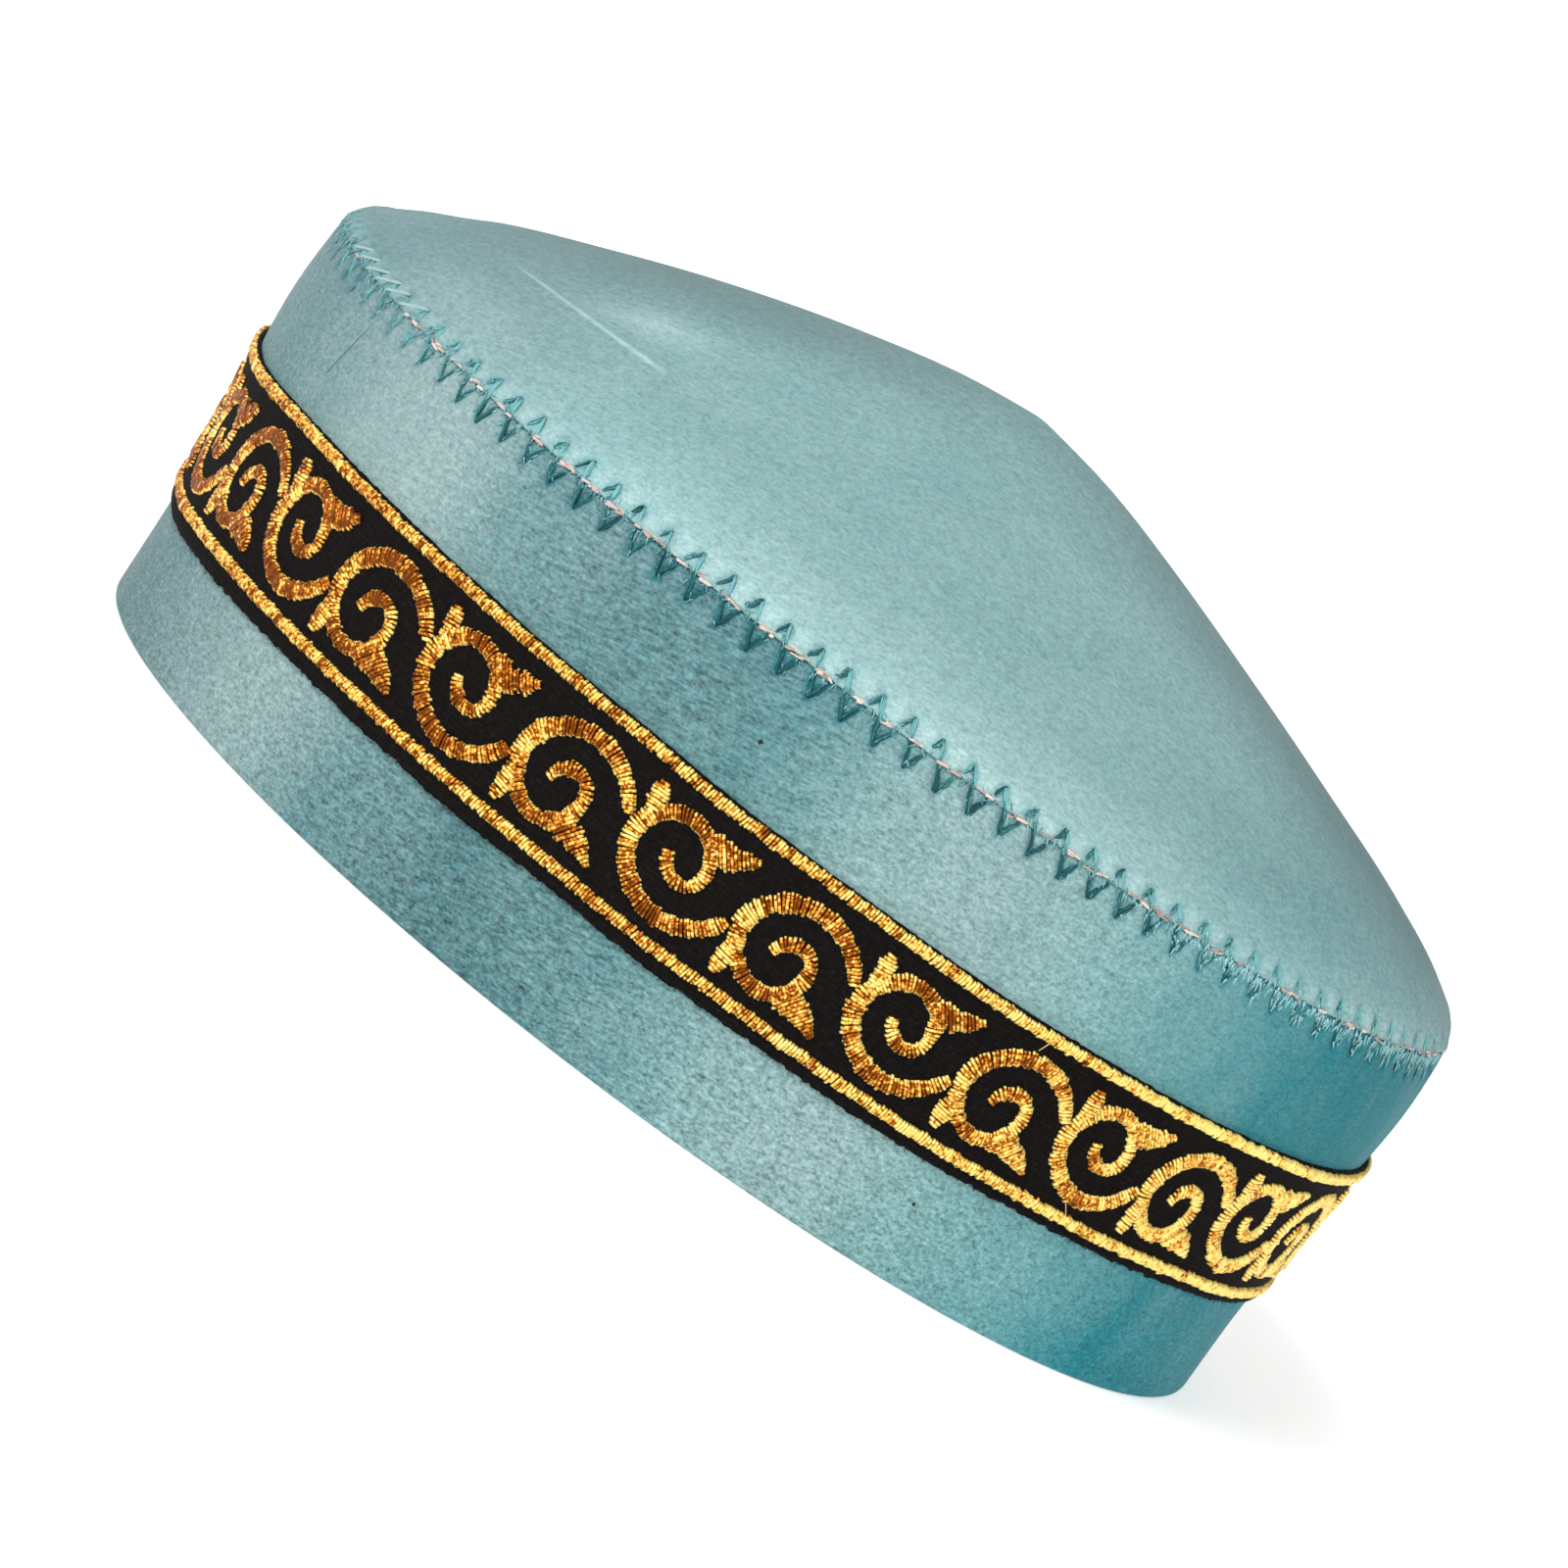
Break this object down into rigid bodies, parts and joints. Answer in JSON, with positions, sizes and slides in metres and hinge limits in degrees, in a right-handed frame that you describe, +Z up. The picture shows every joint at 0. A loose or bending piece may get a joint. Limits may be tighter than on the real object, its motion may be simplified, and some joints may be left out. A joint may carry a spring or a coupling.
{
  "type": "skullcap",
  "caption": "Stiff oval velvet skullcap with a straight side band, a one-piece shallow conical crown and a black tape embroidered with a gold running scroll.",
  "frame": {"origin": "middle of the cap's box on the surface that its rim rests on", "axes": "+X along the cap's long axis, +Z up to the crown, -Y towards the side that the picture shows"},
  "size_m": [0.2038, 0.1888, 0.0998],
  "materials": {
    "velvet": "grey-green short pile velvet",
    "tape": "matt black woven ribbon",
    "gold_thread": "shiny gold satin stitch"
  },
  "bodies": {
    "root": {"crown": "velvet", "band": "velvet", "trim_tape": "tape", "gold_line_lower": "gold_thread", "gold_line_upper": "gold_thread", "scroll_up_01": "gold_thread", "scroll_up_02": "gold_thread", "scroll_up_03": "gold_thread", "scroll_up_04": "gold_thread", "scroll_up_05": "gold_thread", "scroll_up_06": "gold_thread", "scroll_up_07": "gold_thread", "scroll_up_08": "gold_thread", "scroll_up_09": "gold_thread", "scroll_up_10": "gold_thread", "scroll_up_11": "gold_thread", "scroll_up_12": "gold_thread", "scroll_up_13": "gold_thread", "scroll_up_14": "gold_thread", "scroll_up_15": "gold_thread", "scroll_up_16": "gold_thread", "scroll_down_01": "gold_thread", "scroll_down_02": "gold_thread", "scroll_down_03": "gold_thread", "scroll_down_04": "gold_thread", "scroll_down_05": "gold_thread", "scroll_down_06": "gold_thread", "scroll_down_07": "gold_thread", "scroll_down_08": "gold_thread", "scroll_down_09": "gold_thread", "scroll_down_10": "gold_thread", "scroll_down_11": "gold_thread", "scroll_down_12": "gold_thread", "scroll_down_13": "gold_thread", "scroll_down_14": "gold_thread", "scroll_down_15": "gold_thread", "scroll_down_16": "gold_thread"}
  },
  "joints": []
}
